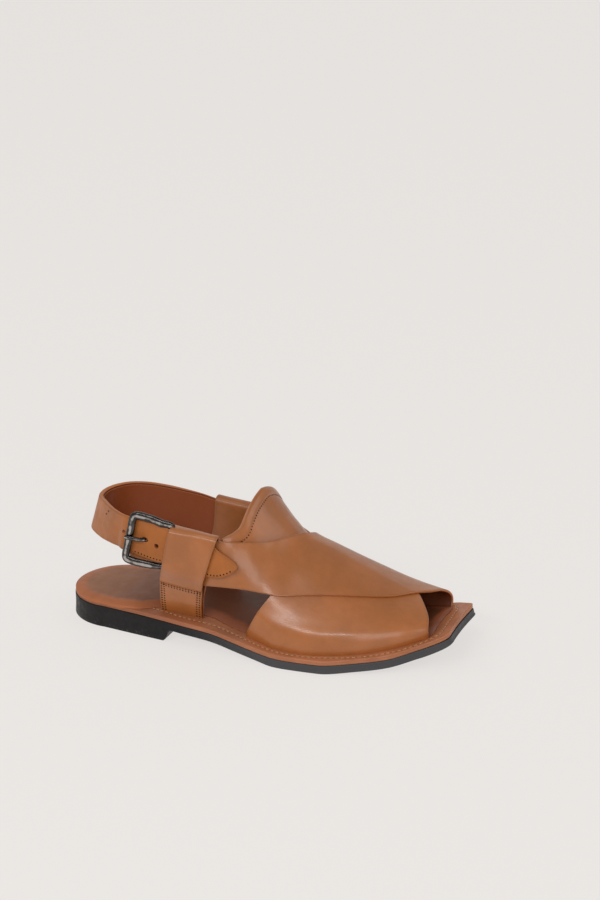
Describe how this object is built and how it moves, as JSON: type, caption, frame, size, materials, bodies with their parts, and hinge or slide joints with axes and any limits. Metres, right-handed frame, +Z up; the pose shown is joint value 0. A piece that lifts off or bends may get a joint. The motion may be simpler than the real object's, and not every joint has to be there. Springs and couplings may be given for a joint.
{
  "type": "sandal",
  "caption": "Right leather sandal with crossed wide straps, open toe, raised instep flap, buckled heel strap and low heel.",
  "frame": {"origin": "on the floor under the middle of the shoe's bounding box", "axes": "+X from heel to toe, +Y to the inner (medial) side, +Z up"},
  "size_m": [0.2916, 0.1033, 0.1004],
  "materials": {
    "outsole": "satin black",
    "midsole": "tan leather, satin",
    "insole": "brown leather, smooth",
    "upper": "tan leather, semi-gloss",
    "buckle": "polished gunmetal"
  },
  "bodies": {
    "root": {"outsole": "outsole", "midsole": "midsole", "insole": "insole", "upper": "upper", "tongue": "upper", "lateral_stay": "upper", "medial_stay": "upper", "heel_strap": "upper", "buckle_frame": "buckle", "buckle_prong": "buckle"}
  },
  "joints": []
}
